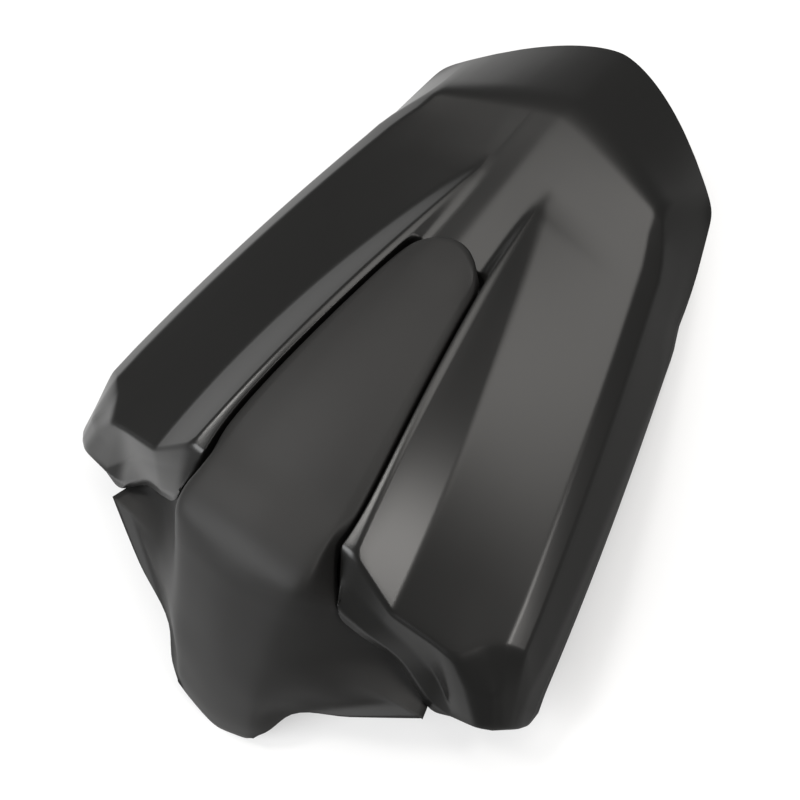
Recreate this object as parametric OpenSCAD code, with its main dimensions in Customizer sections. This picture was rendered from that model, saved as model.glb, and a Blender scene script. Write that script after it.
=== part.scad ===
// Seat cowl for a motorcycle: a smooth painted cowl with two arms, a grained centre panel
// between them, and a moulded base pan below that carries the lock striker and the hook.
// Frame: +Z up, +Y towards the tail, the floor at Z = 0, the origin in the middle of the
// footprint. The drawing itself counts Y from the tongue; placed() moves it to the origin.
// Lengths are in millimetres. "Half" is a distance from the middle plane X = 0.
// "Run" is a distance ahead of the tail rim, "h" is a height above the floor.

/* [Overall] */
// Length from the tongue to the tail rim
cowl_len = 350; // [340:1:360]
// Width over the lower rims, at the front of the arms
cowl_w = 247; // [241:1:253]
// Height of the brow of the centre panel
brow_h = 88.5; // [87:0.5:91]

/* [Shells] */
// Wall of the painted cowl
cowl_wall = 2.6; // [2.2:0.1:3]
// Wall of the centre panel
panel_wall = 2.4; // [2:0.1:2.8]
// Open seam between the cowl and the panel
seam = 1.8; // [1.4:0.1:2.2]
// Depth of the channel that the panel lies in
channel_depth = 9; // [8:0.5:11]

/* [Tail] */
// Length of the sloping tail face on the middle plane
tail_run = 36; // [32:1:40]
// Height of the crease above the tail face
tail_h = 22.6; // [21:0.2:25]
// Half width of the rim at the tail corner
tail_half = 71.5; // [69:0.5:73]
// Run of the tail corner
tail_corner_run = 42; // [39:1:45]
// Half width of the shoulder crease at the tail
shoulder_tail_half = 58; // [55:1:60]
// Run of the shoulder corner at the tail
shoulder_tail_run = 55.5; // [53:0.5:58]
// Height of the shoulder corner at the tail
shoulder_tail_h = 24.4; // [23:0.2:26]

/* [Arms] */
// Half width at the crest, at the front of an arm
crest_half = 42.9; // [41.9:0.1:44]
// Place of the front end of the crest, behind the tongue
crest_y = 111; // [109:0.5:113]
// Height of the crest at its front end
crest_h = 81; // [79:0.5:83]
// Width of the flat land on the crest
land_w = 3.2; // [3:0.1:4]
// Half width at the point where crest and groove meet
tip_half = 16; // [15:0.1:17]
// Run of the point where crest and groove meet
tip_run = 78; // [75:1:81]
// Height of the point where crest and groove meet
tip_h = 35.4; // [34.6:0.2:36.4]
// Half width at the groove, at the front of an arm
groove_half = 63.8; // [62:0.2:66]
// Place of the front end of the groove, behind the tongue
groove_y = 98; // [96:0.5:100]
// Height of the groove at its front end
groove_h = 65.8; // [64:0.2:67]
// Half width at the shoulder, at the front of an arm
shoulder_half = 106; // [104:0.5:108]
// Place of the front end of the shoulder, behind the tongue
shoulder_y = 115; // [113:0.5:117]
// Height of the shoulder at its front end
shoulder_h = 49.4; // [48:0.2:51]
// Height of the lower rim at the front of an arm
rim_front_h = 12; // [11:0.5:13]
// Height of the upright lip at the front of an arm
lip_h = 16; // [14:0.5:18]
// Run of the place where the lip begins
lip_run = 105; // [101:1:108]
// How far the side steps out where the lip begins
lip_step = 3; // [2:0.2:4]

/* [Centre panel] */
// Half width of the front face at the brow
face_half_top = 33.8; // [33:0.2:34.6]
// Half width of the front face at the tongue
face_half_low = 16.5; // [15.5:0.5:17.5]
// Place of the brow, behind the tongue
brow_y = 95; // [93:0.5:97]
// Crown of the panel above its edges at the tail end
crown_tip = 3.6; // [3:0.2:4.4]
// Crown of the panel above its edges at the brow
crown_brow = 5; // [4.4:0.2:5.6]
// Half width over the wing tips
wing_half = 87.4; // [86:0.2:88.4]
// Place of the wing tips, behind the tongue
wing_y = 63.8; // [62:0.2:65]
// Height of the wing tips
wing_h = 31; // [30:0.2:32]
// Depth of the skirt that turns down into the channel
skirt = 4.5; // [3.5:0.5:5.5]

/* [Base pan] */
// Height of the pan's lower face above the floor
pan_h = 14; // [12:0.5:16]
// Thickness of the pan
pan_t = 2.5; // [2:0.1:3]
// Room between the pan and the cowl's inner wall
pan_gap = 1.5; // [1:0.1:2.5]
// Height of the raised middle of the pan above its lower face
tunnel_rise = 17; // [15:0.5:19]
// Half width of the raised middle
tunnel_half = 40; // [37:0.5:43]
// Place of the front of the raised middle, behind the tongue
tunnel_y = 66; // [64:1:70]
// Run of the rear end of the raised middle
tunnel_run = 128; // [124:1:132]
// Height of the pan's stiffening ribs
rib_rise = 7; // [5:0.5:9]
// Thickness of the pan's stiffening ribs
rib_t = 1.8; // [1.4:0.1:2.2]
// Run of the pan's rear edge
pan_run = 50; // [46:1:54]

/* [Lock striker] */
// Diameter of the striker rod
rod_d = 7; // [6:0.5:8]
// Width of the striker between the middles of its legs
striker_w = 34; // [32:1:38]
// Place of the striker behind the tongue
striker_y = 112; // [106:1:118]
// Drop of the striker below the plate, to the middle of its cross bar
striker_drop = 18; // [16:0.5:20]
// Size of the striker plate along X
striker_plate_x = 70; // [68:1:72]
// Size of the striker plate along Y
striker_plate_y = 28; // [24:1:32]
// Thickness of the pressed steel plates
steel_t = 2; // [1.6:0.1:2.5]

/* [Hook] */
// Width of the hook plate at the tail
hook_w = 30; // [26:1:36]
// Length of the hook plate
hook_len = 52; // [48:1:56]
// Step of the hook below its fixed part
hook_step = 6; // [5:0.5:7]

/* [Rubber dampers] */
// Diameter of a damper's foot
damper_d = 15; // [13:0.5:17]
// Height of a damper's foot
damper_rise = 8; // [6:0.5:9]
// Diameter of the neck that the pan holds
damper_neck_d = 7; // [6:0.5:8]

/* [Fasteners] */
// Diameter of the self-tapping screws
screw_d = 4; // [3.5:0.5:4.5]
// Diameter of the screws' pan heads
head_d = 8; // [7.5:0.5:9]
// Height of the screws' pan heads
head_rise = 2.6; // [2.2:0.1:3]
// Diameter of the washers
washer_d = 11; // [10:0.5:12]
// Thickness of the washers
washer_t = 1; // [0.8:0.1:1.4]
// Diameter of the screw bosses
boss_d = 8.4; // [8:0.2:9.4]
// Depth that a screw reaches into its boss
bite = 9; // [7:0.5:10]
// Diameter of the bolts that hold the steel pieces
bolt_d = 6; // [5:0.5:6]
// Clearance of a screw or bolt in its hole, across the diameter
hole_play = 0.6; // [0.4:0.1:1]

/* [Hidden] */

tail_y = cowl_len;
tip_y = tail_y - tip_run;
eps = 0.01;

// Straight and bowed lines between two points, numbers or vectors alike
function mix(a, b, t) = a + (b - a) * t;
function bowed(a, b, h, t) = mix(a, b, t) + 4 * h * t * (1 - t);
function unit(v) = v / max(norm(v), 0.0001);

// A corner b between a and c, rounded over the length r, as n + 1 points
function corner(a, b, c, r, n) =
    let (ra = min(r, 0.45 * norm(a - b)), rc = min(r, 0.45 * norm(c - b)),
         p = b + unit(a - b) * ra, q = b + unit(c - b) * rc)
    [for (k = [0:n]) let (t = k / n) mix(mix(p, b, t), mix(b, q, t), t)];

// A section whose corners are rounded: each corner has its length and its count of steps
function rounded(p, len, steps) =
    [for (i = [0:len(p) - 1])
        each steps[i] == 0 ? [p[i]] : corner(p[i - 1], p[i], p[i + 1], len[i], steps[i])];

// Every point of a skin is pushed in along the mean normal of the faces around it
function transpose(m) = [for (j = [0:len(m[0]) - 1]) [for (i = [0:len(m) - 1]) m[i][j]]];
function normals(g) =
    let (r = len(g) - 1, c = len(g[0]) - 1)
    [for (i = [0:r]) [for (j = [0:c])
        unit(cross(g[i][min(j + 1, c)] - g[i][max(j - 1, 0)],
                   g[min(i + 1, r)][j] - g[max(i - 1, 0)][j]))]];
function pushed(g, d) =
    let (n = normals(g))
    [for (i = [0:len(g) - 1]) [for (j = [0:len(g[0]) - 1]) g[i][j] - n[i][j] * d]];

// The inner rim is brought level with the outer one, along the wall's own slope
function level(p, from, along) =
    let (d = p - from)
    abs(d.z) < 0.2 ? p : from + d * (along.z - from.z) / d.z;

// The two halves of a section, left and right of the middle plane
function both_sides(half) =
    concat([for (k = [len(half) - 1:-1:1]) [-half[k].x, half[k].y, half[k].z]], half);

// A closed wall between two grids of points, row by row, with a rim all round
module wall_between(outer, inner) {
    rows = len(outer);
    cols = len(outer[0]);
    n = rows * cols;
    mid = (cols - 1) / 2;
    function at(i, j) = i * cols + j;
    // Each quad is cut along the diagonal that runs out and to the front, on both halves
    function cut(a, b, c, d, j) = j >= mid ? [[a, d, b], [b, d, c]] : [[a, c, b], [a, d, c]];
    skin = [for (i = [0:rows - 2]) for (j = [0:cols - 2])
        each cut(at(i, j), at(i, j + 1), at(i + 1, j + 1), at(i + 1, j), j)];
    lining = [for (f = skin) [f[0] + n, f[2] + n, f[1] + n]];
    ring = concat(
        [for (j = [0:cols - 2]) at(0, j)],
        [for (i = [0:rows - 2]) at(i, cols - 1)],
        [for (j = [cols - 1:-1:1]) at(rows - 1, j)],
        [for (i = [rows - 1:-1:1]) at(i, 0)]);
    rim = [for (k = [0:len(ring) - 1])
        let (a = ring[k], b = ring[(k + 1) % len(ring)])
        each [[a, b, a + n], [b, b + n, a + n]]];
    polyhedron(points = concat([for (r = outer) each r], [for (r = inner) each r]),
               faces = concat(skin, lining, rim), convexity = 8);
}

// The lines that the cowl is drawn from, u running from the front of an arm to the tip
lip_y = tail_y - lip_run;
tail_corner_y = tail_y - tail_corner_run;
crease_y = tail_y - tail_run;
ridge_slope = 0.345;
function crest(u) = bowed([crest_half, crest_y, crest_h], [tip_half, tip_y, tip_h], [0, 0, 8.8], u);
function groove(u) = bowed([groove_half, groove_y, groove_h],
    [tip_half + 3, tip_y, tip_h - 0.7], [5.6, 0, 6.5], u);
function shoulder(s) = bowed([shoulder_half, shoulder_y, shoulder_h],
    [shoulder_tail_half, tail_y - shoulder_tail_run, shoulder_tail_h], [2.5, 0, 2.3], s);
function ridge_z(y) = tail_h + ridge_slope * (crease_y - y);
function land(u) = land_w * (1 + 1.2 * pow(1 - u, 12)) * min(1, (1.04 - u) * 3.2);

// The lower rim, by its place along Y: half width, height, and height of the upright lip
rim_front_y = 87;
step_half = 90;
function rim_x(y) = y < lip_y
    ? bowed(cowl_w / 2, step_half, 2.2, (y - rim_front_y) / (lip_y - rim_front_y))
    : mix(step_half - lip_step, tail_half, pow((y - lip_y) / (tail_corner_y - lip_y), 1.5))
        + lip_step * max(0, 1 - (y - lip_y) / 12);
function rim_z(y) = y < lip_y ? rim_front_h * pow((lip_y - y) / (lip_y - 98), 0.6) : 0;
function lip_rise(y) = lip_h * pow(max(0, lip_y - y) / 145, 0.7);
function rim(y) = [rim_x(y), y, rim_z(y)];
function lip(y, top) = y < lip_y - 1
    ? rim(y) + [-0.08 * lip_rise(y), 0, lip_rise(y)]
    : mix(rim(y), top, 0.3) + [2.2, 0, 0];

// The channel ends in a step below the tip of the panel
step_top = 0.748;
step_foot = 0.71;
function channel_edge(u) =
    let (k = crest(u), e = k - [land(u), 0, 0.3])
    u >= step_top
        ? [mix(15, 12.5, (u - step_top) / (1 - step_top)), k.y, ridge_z(k.y) - 0.4]
        : e - [0.8, 0, channel_depth];
function channel_mid(u) =
    let (e = channel_edge(u)) [0, e.y, u >= step_top ? ridge_z(e.y) : e.z + 1.5];

// One section of the cowl, from the middle of the channel out to the lower rim
across_top = [0, 0.2, 0.33, 0.42, 0.5, 0.75, 1];
function top_face(g, s) = [for (f = across_top) bowed(g, s, [0, 0, 0.5], f)];
function section(u) =
    let (k = crest(u), s = shoulder(0.819 * u), y = mix(98, tip_y - 14, u))
    concat([channel_mid(u), channel_edge(u), k - [land(u), 0, 0.3], k],
           top_face(groove(u), s), [lip(y, s), rim(y)]);

// The front end of an arm, from its lower edge over the fold and the face to its upper edge
arm_foot = [
    [0, 96, 64], [43.2, 94.5, 60.5], [42.2, 91, 68.6], [45.9, 83.8, 65.7], [57, 81.4, 54],
    [69, 80.3, 44.5], [88.2, 67.5, 27.9], [97, 71.2, 30.2], [109.6, 74.3, 34.5],
    [115, 76.5, 31], [119.2, 79.5, 27], [cowl_w / 2 - 2, 81, 20],
    [cowl_w / 2 - 0.9, 83, rim_front_h + 1]];
arm_fold = [
    [0, 104, 67.5], [38.6, 103, 64.4], [38.2, 101, 73.6], [43.5, 99, 75.5], [62, 92, 60],
    [76, 88.5, 51], [87.5, 82, 38], [97, 73.4, 32], [108.9, 75.8, 36.3],
    [114.6, 78, 33], [119.2, 80.5, 29], [cowl_w / 2 - 1.7, 82, 21.5],
    [cowl_w / 2 - 0.4, 84.5, rim_front_h + 0.6]];
arm_top = let (r = section(0))
    [r[0], r[1], r[2], r[3], r[4], [75.6, 97.2, 62.6], [83.2, 96.7, 60.4], [88.5, 96.3, 58.8],
     [93.2, 96, 57.3], [99.5, 105.5, 53.3], r[10], [cowl_w / 2 - 4.2, 98, 27.5], r[12]];
arm_face = concat([for (j = [0:7]) mix(arm_fold[j], arm_top[j], 0.5)],
    [[102.2, 86.3, 46.6], [110, 90, 43], [115, 95, 38], [cowl_w / 2 - 3.2, 90, 26],
     [cowl_w / 2, 90, rim_front_h]]);

// The tail: the crease above the tail face, and the rim on the floor
function tail_crease(x) = let (t = x / shoulder_tail_half)
    [x, crease_y - 19.5 * pow(t, 1.3), mix(tail_h, shoulder_tail_h, t)];
function tail_rim(x) = [x, tail_y - tail_corner_run * pow(x / tail_half, 1.6), 0];
function crease_row() = concat(
    [for (x = [0, 12, 13.5, 16, 22.5, 29.6, 34.2, 37.4, 40.3, 49.1]) tail_crease(x)],
    [tail_crease(shoulder_tail_half), [69, 299, 8], rim(297)]);
function rim_row() =
    [for (x = [0, 12, 14, 17, 24, 32, 37, 41, 44.5, 53, 62, 68, tail_half + 0.6]) tail_rim(x)];
// Just behind the tips the roof runs straight from the ridge to the shoulders
function roof_row() =
    let (m = [0, tip_y + 3, ridge_z(tip_y + 3)], s = shoulder(0.819), y = tip_y - 14,
         inner = [for (x = [0, 12.5, 15.3, 16.3, 18.8]) bowed(m, s, [0, 0, 0.6], x / s.x)])
    concat([for (j = [0:3]) inner[j]], top_face(inner[4], s), [lip(y, s), rim(y)]);
function between_row(a, b) =
    let (s = shoulder(0.91), y = 279)
    concat([for (j = [0:3]) mix(a[j], b[j], 0.5)], top_face(mix(a[4], b[4], 0.5), s),
           [lip(y, s), rim(y)]);

cowl_rows = concat([arm_foot, arm_fold, arm_face, arm_top],
    [for (u = [0.1, 0.22, 0.36, 0.5, 0.64, step_foot, step_top, 0.9, 0.97]) section(u)],
    [roof_row(), between_row(roof_row(), crease_row()), crease_row(), rim_row()]);
cowl_lines = [for (r = cowl_rows)
    rounded(r, [0, 0, 0, 1.2, 2.5, 0, 0, 0, 2, 0, 5, 2, 0], [0, 0, 0, 2, 2, 0, 0, 0, 2, 0, 3, 2, 0])];
cowl_half = transpose([for (c = transpose(cowl_lines))
    rounded(c, [0, 2, 0, 2.5, 0, 0, 0, 0, 0, 0, 0, 0, 0, 0, 0, 5, 0],
               [0, 1, 0, 2, 0, 0, 0, 0, 0, 0, 0, 0, 0, 0, 0, 3, 0])]);
cowl_outer = [for (r = cowl_half) both_sides(r)];

// The inner skin ends on the same level as the outer one, at the sides and at the tail
function lined(outer, wall, first, last, sides) =
    let (g = pushed(outer, wall), m = len(outer) - 1, c = len(outer[0]) - 1)
    [for (i = [0:m]) [for (j = [0:c])
        i == m && last ? level(g[m][j], g[m - 1][j], outer[m][j]) :
        i == 0 && first ? level(g[0][j], g[1][j], outer[0][j]) :
        j == 0 && sides ? level(g[i][0], g[i][1], outer[i][0]) :
        j == c && sides ? level(g[i][c], g[i][c - 1], outer[i][c]) : g[i][j]]];

// The centre panel: the fold between its front face and its sides, foot to brow
face_h = brow_h / 88.5;
function fold(i) = [
    [face_half_low + 1, 5.2, 5.6], [19.8, 12, 15.5], [22, 22, 27], [24, 31, 37], [26.3, 46, 50.5],
    [28, 57.5, 61], [29.8, 69.5, 71.6], [31.8, 79, 79.5], [face_half_top - 0.5, 87.5, 85],
    [face_half_top, brow_y + 1, 86.2], [face_half_top - 1.3, brow_y + 11, 85.3]][i];
function face_mid(i) = [
    [0, 0, 0], [0, 6, 10], [0, 15.5, 22.5], [0, 27, 35.5], [0, 42, 51], [0, 54, 62.5],
    [0, 67, 74], [0, 77, 82], [0, 86, 86.5], [0, brow_y, 88.5], [0, brow_y + 11, 87.6]][i];
// The outer edge: along the foot to the wing tip, then back under the arm's end
function wing_edge(i) = [
    [21.5, 8.2, 10], [27.5, 15.5, 14.8], [35.6, 30.4, 22.1], [60, 45.8, 28],
    [wing_half, wing_y, wing_h], [83, 76, 25.5], [70, 84.5, 39], [56, 86, 50],
    [45.6, 88.2, 58.6], [38.6, 94.5, 64.6], [34.7, 103.5, 70]][i];
wing_sag = [0, 0.3, 1.5, 5, 8, 8.5, 7, 4.5, 2, 0.8, 0.3];
function side_point(i, t) =
    mix(fold(i), wing_edge(i), t) + 4 * t * (1 - t) * wing_sag[i] * [-0.25, 0.5, -0.8];
function raised(p) = [p.x, p.y, p.z * face_h];
function panel_front(i) = concat(
    [raised(face_mid(i)), raised(mix(face_mid(i), fold(i), 0.5) + [0, -0.4, 0.4])],
    [raised(fold(i))], [for (t = [0.2, 0.4, 0.6, 0.8, 1]) side_point(i, t)]);

// The top of the panel, a seam inside the lands of the cowl
function panel_top(u) =
    let (k = crest(u), x = k.x - land(u) - seam, z = k.z - 1.2,
         c = mix(crown_brow, crown_tip, u / 0.75) * face_h)
    [[0, k.y, z + c], [0.5 * x, k.y, z + 0.84 * c], [0.86 * x, k.y, z + 0.5 * c],
     [0.94 * x, k.y, z + 0.28 * c], [0.985 * x, k.y, z + 0.05 * c], [x, k.y, z - 1],
     [x - 0.1, k.y, z - 0.55 * skirt], [x - 0.3, k.y, z - skirt]];
// Towards the tip the crown turns down, and the skirts of the sides close in on its corners
tip_w = 17.2;
function tip_y_at(x) = crest(0.783).y + 2.2 - 0.0365 * x * x;
function panel_tip(back, rise, down) = concat(
    [for (f = [0, 0.32, 0.6, 0.75, 0.86])
        let (x = f * tip_w, y = tip_y_at(x))
        [x * (1 - back / 40), y - back, ridge_z(y) + 1.2 + rise * (1 - 0.9 * pow(f, 5))]],
    [for (k = [0:2])
        let (f = [0.93, 0.98, 1][k], x = f * tip_w, y = tip_y_at(x),
             side = panel_top(0.712)[5 + k])
        mix(side, [x, y, ridge_z(y) + 1.2 - 1.9 * pow(f, 12)], down)]);
panel_rows = concat([for (i = [0:10]) panel_front(i)],
    [for (u = [0.08, 0.16, 0.26, 0.36, 0.48, 0.6, 0.7]) panel_top(u)],
    [panel_tip(3.2, 4.6, 0), panel_tip(0.9, 3.4, 0.5), panel_tip(0.1, 1.6, 0.85),
     panel_tip(0, 0, 1)]);
panel_half = [for (r = panel_rows) rounded(r, [0, 0, 5, 0, 0, 0, 0, 0], [0, 0, 2, 0, 0, 0, 0, 0])];
panel_outer = [for (r = panel_half) both_sides(r)];
panel_inner = lined(panel_outer, panel_wall, true, false, false);

// Holes and bosses share these: a bore that the screw runs in, and its room
bore_d = screw_d + 0.2;
module bore(p, h, d) {
    translate(p)
        cylinder(h = h, d = d, $fn = 24);
}
// A boss that stands on the pan and ends inside the wall above it
module boss(p, foot_z, top_z) {
    translate([p.x, p.y, foot_z])
        cylinder(h = top_z - 4.2 - foot_z, d = boss_d, $fn = 32);
    translate([p.x, p.y, top_z - 4.2 - eps])
        cylinder(h = 3, d1 = boss_d, d2 = boss_d * 0.36, $fn = 32);
}

// Places of the screws, on the right half; each stands on a drawn point of its skin
pan_top = pan_h + pan_t;
function cowl_boss(u) = let (s = shoulder(0.819 * u)) bowed(groove(u), s, [0, 0, 0.5], 0.5);
cowl_bosses = [for (u = [0.1, 0.5, 0.92]) cowl_boss(u)];
wing_boss = side_point(5, 0.4);
tongue_boss = raised(face_mid(3));
panel_boss_at = [0.08, 0.36];
function panel_boss(u) = let (r = panel_top(u)) [r[1].x, r[1].y, r[1].z];
panel_bosses = [for (u = panel_boss_at) panel_boss(u)];
// Level of the seat between the channel floor and the panel's bosses, and of the screw's washer
function pad_z(u) = crest(u).z - 0.3 - channel_depth + 3;
function seat_z(u) = pad_z(u) - 3 - cowl_wall - 2.4;

module mirrored() {
    children();
    mirror([1, 0, 0])
        children();
}

module placed() {
    translate([0, -cowl_len / 2, 0])
        children();
}

module outer_cowl() {
    color("#26241f")
        placed()
        difference() {
            union() {
                wall_between(cowl_outer, lined(cowl_outer, cowl_wall, false, true, true));
                mirrored()
                    for (p = cowl_bosses)
                        boss(p, pan_top, p.z);
                mirrored()
                    for (u = panel_boss_at)
                        translate([panel_boss(u).x, panel_boss(u).y, seat_z(u)])
                            cylinder(h = pad_z(u) - seat_z(u), d = washer_d + 2, $fn = 32);
            }
            mirrored()
                for (p = cowl_bosses)
                    bore([p.x, p.y, pan_top - 1], bite + 2, bore_d);
            mirrored()
                for (u = panel_boss_at)
                    bore([panel_boss(u).x, panel_boss(u).y, seat_z(u) - 1],
                         pad_z(u) - seat_z(u) + 2, screw_d + hole_play);
        }
}

module centre_panel() {
    color("#23231f")
        placed()
        difference() {
            union() {
                wall_between(panel_outer, panel_inner);
                mirrored()
                    for (i = [0:1])
                        boss(panel_bosses[i], pad_z(panel_boss_at[i]), panel_bosses[i].z);
                mirrored()
                    boss(wing_boss, pan_top, wing_boss.z);
                boss(tongue_boss, pan_top, tongue_boss.z);
            }
            mirrored()
                for (i = [0:1])
                    bore([panel_bosses[i].x, panel_bosses[i].y, pad_z(panel_boss_at[i]) - 1],
                         6.5, bore_d);
            mirrored()
                bore([wing_boss.x, wing_boss.y, pan_top - 1], bite + 2, bore_d);
            bore([0, tongue_boss.y, pan_top - 1], bite + 2, bore_d);
        }
}

// The base pan: its outline follows the rim, further in where the sides slope
function pan_inset(y) = mix(8, 17, min(1, max(0, (y - 190) / 60)));
function pan_edge(y) = rim_x(y) - pan_inset(y) - (pan_gap - 1.5) - (cowl_wall - 2.6);
pan_y2 = tail_y - pan_run;
pan_side = concat([[0, 18], [13, 18], [20, 20.5], [25, 25], [38, 44], [62, 60], [81, 76], [99, 97]],
    [for (y = [104, 130, 160, 190, 215, 240, 265, 287]) [pan_edge(y), y]],
    [[pan_edge(pan_y2) - 10, pan_y2], [0, pan_y2]]);
pan_outline = concat(pan_side,
    [for (k = [len(pan_side) - 2:-1:1]) [-pan_side[k].x, pan_side[k].y]]);
tunnel_y2 = tail_y - tunnel_run;
roof = pan_h + tunnel_rise;
bolt_x = striker_w / 2 + rod_d / 2 + 7;
hook_y = pan_y2 - 36;
damper_at = [[58, 92], [58, 236]];

module box(a, b) {
    translate(a)
        cube(b - a);
}

module rib(y, x) {
    mirrored()
        box([tunnel_half - 1, y, pan_top - 0.5], [x, y + rib_t, pan_top + rib_rise]);
}

module base_pan() {
    color("#1d1d1d")
        placed()
        difference() {
            union() {
                translate([0, 0, pan_h])
                    linear_extrude(pan_t)
                        polygon(pan_outline);
                box([-tunnel_half, tunnel_y, pan_h], [tunnel_half, tunnel_y2, roof + pan_t]);
                for (y = [142, 164])
                    rib(y, pan_edge(y + 4) - 4);
                rib(212, 76);
            }
            box([pan_t - tunnel_half, tunnel_y + pan_t, pan_h - 1],
                [tunnel_half - pan_t, tunnel_y2 - pan_t, roof]);
            mirrored()
                for (p = concat(cowl_bosses, [wing_boss]))
                    bore([p.x, p.y, pan_h - 1], pan_t + 2, screw_d + hole_play);
            bore([0, tongue_boss.y, pan_h - 1], pan_t + 2, screw_d + hole_play);
            mirrored()
                for (p = damper_at)
                    bore([p.x, p.y, pan_h - 1], pan_t + 2, damper_neck_d);
            mirrored()
                bore([bolt_x, striker_y, roof - 1], pan_t + 2, bolt_d + hole_play);
            for (y = [hook_y + 8, hook_y + 22])
                bore([0, y, pan_h - 1], pan_t + 2, bolt_d + hole_play);
        }
}

// The striker that the seat lock closes on: a bent round rod below a steel plate
plate_z = roof - steel_t;
bar_z = plate_z - striker_drop;
bend = rod_d;
module striker_loop() {
    color("#b9bcc0")
        placed() {
        mirrored() {
            translate([striker_w / 2, striker_y, bar_z + bend])
                cylinder(h = striker_drop - bend, d = rod_d, $fn = 32);
            translate([striker_w / 2 - bend, striker_y, bar_z + bend])
                rotate([90, 0, 0])
                    rotate([0, 0, -90])
                        rotate_extrude(angle = 90, $fn = 48)
                            translate([bend, 0])
                                circle(d = rod_d, $fn = 32);
        }
        translate([bend - striker_w / 2, striker_y, bar_z])
            rotate([0, 90, 0])
                cylinder(h = striker_w - 2 * bend, d = rod_d, $fn = 32);
    }
}

module striker_plate() {
    color("#a9acb0")
        placed()
        difference() {
            box([-striker_plate_x / 2, striker_y - striker_plate_y / 2, plate_z],
                [striker_plate_x / 2, striker_y + striker_plate_y / 2, roof]);
            mirrored()
                bore([bolt_x, striker_y, plate_z - 1], steel_t + 2, bolt_d + hole_play);
        }
}

// A hexagon bolt pushed up from below, its head against the level z, and a nut on top
bolt_head = 0.66 * bolt_d;
nut_rise = 0.8 * bolt_d;
module bolt(p, z, grip) {
    translate([p.x, p.y, z - bolt_head])
        cylinder(h = bolt_head, d = 1.92 * bolt_d, $fn = 6);
    translate([p.x, p.y, z - 0.5])
        cylinder(h = grip + nut_rise + 1.5, d = bolt_d, $fn = 32);
}
module nut(p, z) {
    difference() {
        translate([p.x, p.y, z])
            cylinder(h = nut_rise, d = 1.92 * bolt_d, $fn = 6);
        bore([p.x, p.y, z - 1], nut_rise + 2, bolt_d + 0.2);
    }
}

module striker_bolts() {
    color("#c9cbd0")
        placed()
        mirrored()
            bolt([bolt_x, striker_y], plate_z, steel_t + pan_t);
}

module striker_nuts() {
    color("#c9cbd0")
        placed()
        mirrored()
            nut([bolt_x, striker_y], roof + pan_t);
}

// The hook at the tail: a steel strip below the pan, stepped down towards the tail
module hook_plate() {
    color("#a9acb0")
        placed()
        difference() {
            union() {
                box([-hook_w / 2, hook_y, pan_h - steel_t], [hook_w / 2, hook_y + 30, pan_h]);
                box([-hook_w / 2, hook_y + 30 - steel_t, pan_h - steel_t - hook_step],
                    [hook_w / 2, hook_y + 30, pan_h - 0.5]);
                box([-hook_w / 2, hook_y + 30 - steel_t, pan_h - steel_t - hook_step],
                    [hook_w / 2, hook_y + hook_len, pan_h - hook_step]);
            }
            for (y = [hook_y + 8, hook_y + 22])
                bore([0, y, pan_h - steel_t - 1], steel_t + 2, bolt_d + hole_play);
        }
}

module hook_bolts() {
    color("#c9cbd0")
        placed()
        for (y = [hook_y + 8, hook_y + 22])
            bolt([0, y], pan_h - steel_t, steel_t + pan_t);
}

module hook_nuts() {
    color("#c9cbd0")
        placed()
        for (y = [hook_y + 8, hook_y + 22])
            nut([0, y], pan_top);
}

// A rubber damper: a foot below the pan, a neck through it and a button above
module damper(p) {
    color("#161616")
        placed() {
        translate([p.x, p.y, pan_h - damper_rise])
            cylinder(h = damper_rise, d1 = damper_d - 2, d2 = damper_d, $fn = 32);
        translate([p.x, p.y, pan_h - 0.5])
            cylinder(h = pan_t + 1, d = damper_neck_d - 0.2, $fn = 32);
        translate([p.x, p.y, pan_top])
            cylinder(h = 3, d1 = damper_neck_d + 3, d2 = damper_neck_d - 1, $fn = 32);
    }
}
module front_damper_left() {
    damper([-damper_at[0].x, damper_at[0].y]);
}
module front_damper_right() {
    damper(damper_at[0]);
}
module rear_damper_left() {
    damper([-damper_at[1].x, damper_at[1].y]);
}
module rear_damper_right() {
    damper(damper_at[1]);
}

// Pan-head screws, driven up from below, each under its own washer
module screw(p, z, len) {
    translate([p.x, p.y, z - head_rise])
        cylinder(h = head_rise * 0.5, d1 = head_d * 0.72, d2 = head_d, $fn = 24);
    translate([p.x, p.y, z - head_rise * 0.5])
        cylinder(h = head_rise * 0.5, d = head_d, $fn = 24);
    translate([p.x, p.y, z - 0.5])
        cylinder(h = len + 0.5, d = screw_d, $fn = 16);
}
module washer(p, z) {
    difference() {
        translate([p.x, p.y, z])
            cylinder(h = washer_t, d = washer_d, $fn = 24);
        bore([p.x, p.y, z - 1], washer_t + 2, screw_d + hole_play);
    }
}

module panel_screws() {
    color("#9a9c9f")
        placed()
        mirrored()
            for (i = [0:1])
                let (u = panel_boss_at[i])
                screw(panel_bosses[i], seat_z(u) - washer_t, washer_t + pad_z(u) - seat_z(u) + 5);
}

module panel_washers() {
    color("#b4b6b9")
        placed()
        mirrored()
            for (i = [0:1])
                washer(panel_bosses[i], seat_z(panel_boss_at[i]) - washer_t);
}

module pan_screws() {
    color("#9a9c9f")
        placed() {
        mirrored()
            for (p = concat(cowl_bosses, [wing_boss]))
                screw(p, pan_h - washer_t, washer_t + pan_t + bite);
        screw(tongue_boss, pan_h - washer_t, washer_t + pan_t + bite);
    }
}

module pan_washers() {
    color("#b4b6b9")
        placed() {
        mirrored()
            for (p = concat(cowl_bosses, [wing_boss]))
                washer(p, pan_h - washer_t);
        washer(tongue_boss, pan_h - washer_t);
    }
}

outer_cowl();
centre_panel();
base_pan();
striker_loop();
striker_plate();
striker_bolts();
striker_nuts();
hook_plate();
hook_bolts();
hook_nuts();
front_damper_left();
front_damper_right();
rear_damper_left();
rear_damper_right();
panel_screws();
panel_washers();
pan_screws();
pan_washers();
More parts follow.
